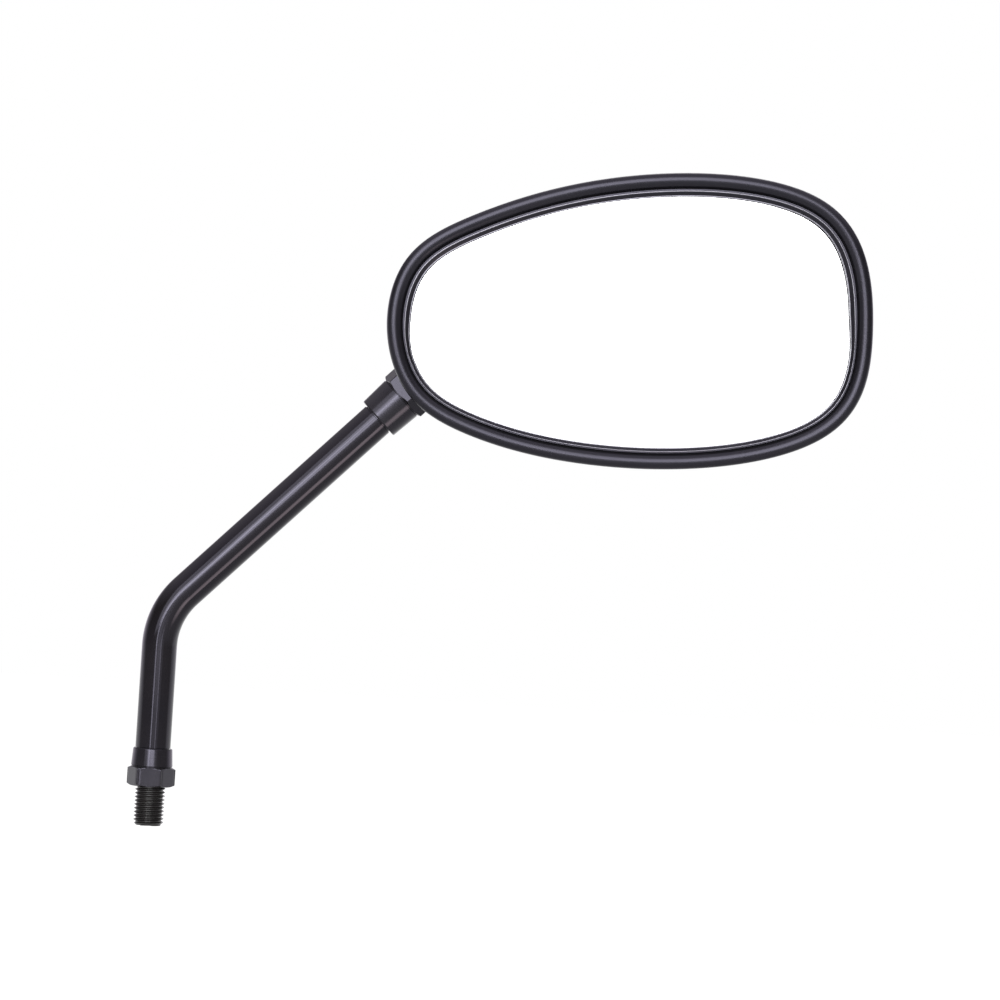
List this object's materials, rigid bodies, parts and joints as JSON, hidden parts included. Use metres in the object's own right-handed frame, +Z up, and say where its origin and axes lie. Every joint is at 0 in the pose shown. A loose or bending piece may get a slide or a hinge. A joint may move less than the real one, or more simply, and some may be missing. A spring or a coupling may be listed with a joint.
{
  "type": "motorcycle mirror",
  "caption": "Motorcycle handlebar mirror: oval convex glass in a black bezel and domed housing, on a ball joint at the end of a bent rod stem with a threaded foot.",
  "frame": {"origin": "on the stud's axis at its seat, the outer face of the base lock nut", "axes": "+Z up the stud's axis into the stem, +X outboard in the plane of the stem, -Y towards the rider, the way the glass faces"},
  "size_m": [0.2364, 0.0439, 0.2266],
  "materials": {
    "stem_paint": "semi-gloss",
    "nut_plating": "satin",
    "bare_steel": "turned",
    "fastener_steel": "zinc",
    "nylon": "satin",
    "housing_plastic": "satin",
    "bezel_plastic": "satin",
    "inner_plastic": "matte",
    "foam": "foam",
    "mirror_glass": "polished"
  },
  "bodies": {
    "stem": {"stem": "stem_paint"},
    "base_nut": {"base_lock_nut": "nut_plating"},
    "upper_nut": {"upper_lock_nut": "nut_plating"},
    "ball_stud": {"ball_stud": "bare_steel"},
    "ball_cup": {"ball_liner": "nylon"},
    "head": {"housing": "housing_plastic", "bezel": "bezel_plastic", "mirror_glass": "mirror_glass", "glass_pad": "foam", "backing_plate": "inner_plastic", "clamp_plate": "bare_steel", "clamp_screw_1": "fastener_steel", "clamp_screw_2": "fastener_steel", "clamp_screw_3": "fastener_steel", "spring_washer_1": "fastener_steel", "spring_washer_2": "fastener_steel", "spring_washer_3": "fastener_steel", "flat_washer_1": "fastener_steel", "flat_washer_2": "fastener_steel", "flat_washer_3": "fastener_steel"}
  },
  "joints": [
    {"name": "base_nut_turn", "type": "hinge", "parent": "stem", "child": "base_nut", "pos_m": [0, 0, 0], "axis": [0, 0, 1], "continuous": true},
    {"name": "upper_nut_turn", "type": "hinge", "parent": "stem", "child": "upper_nut", "pos_m": [0.07444, 0, 0.13362], "axis": [0.6997, 0, 0.7145], "continuous": true},
    {"name": "stud_swivel", "type": "hinge", "parent": "stem", "child": "ball_stud", "pos_m": [0.07444, 0, 0.13362], "axis": [0.6997, 0, 0.7145], "continuous": true},
    {"name": "head_tilt", "type": "hinge", "parent": "ball_stud", "child": "ball_cup", "pos_m": [0.09208, 0, 0.15163], "axis": [0.9979, 0, 0.0645], "range_deg": [-10, 10]},
    {"name": "head_pan", "type": "hinge", "parent": "ball_cup", "child": "head", "pos_m": [0.09208, 0, 0.15163], "axis": [-0.0645, 0, 0.9979], "range_deg": [-10, 10]}
  ]
}
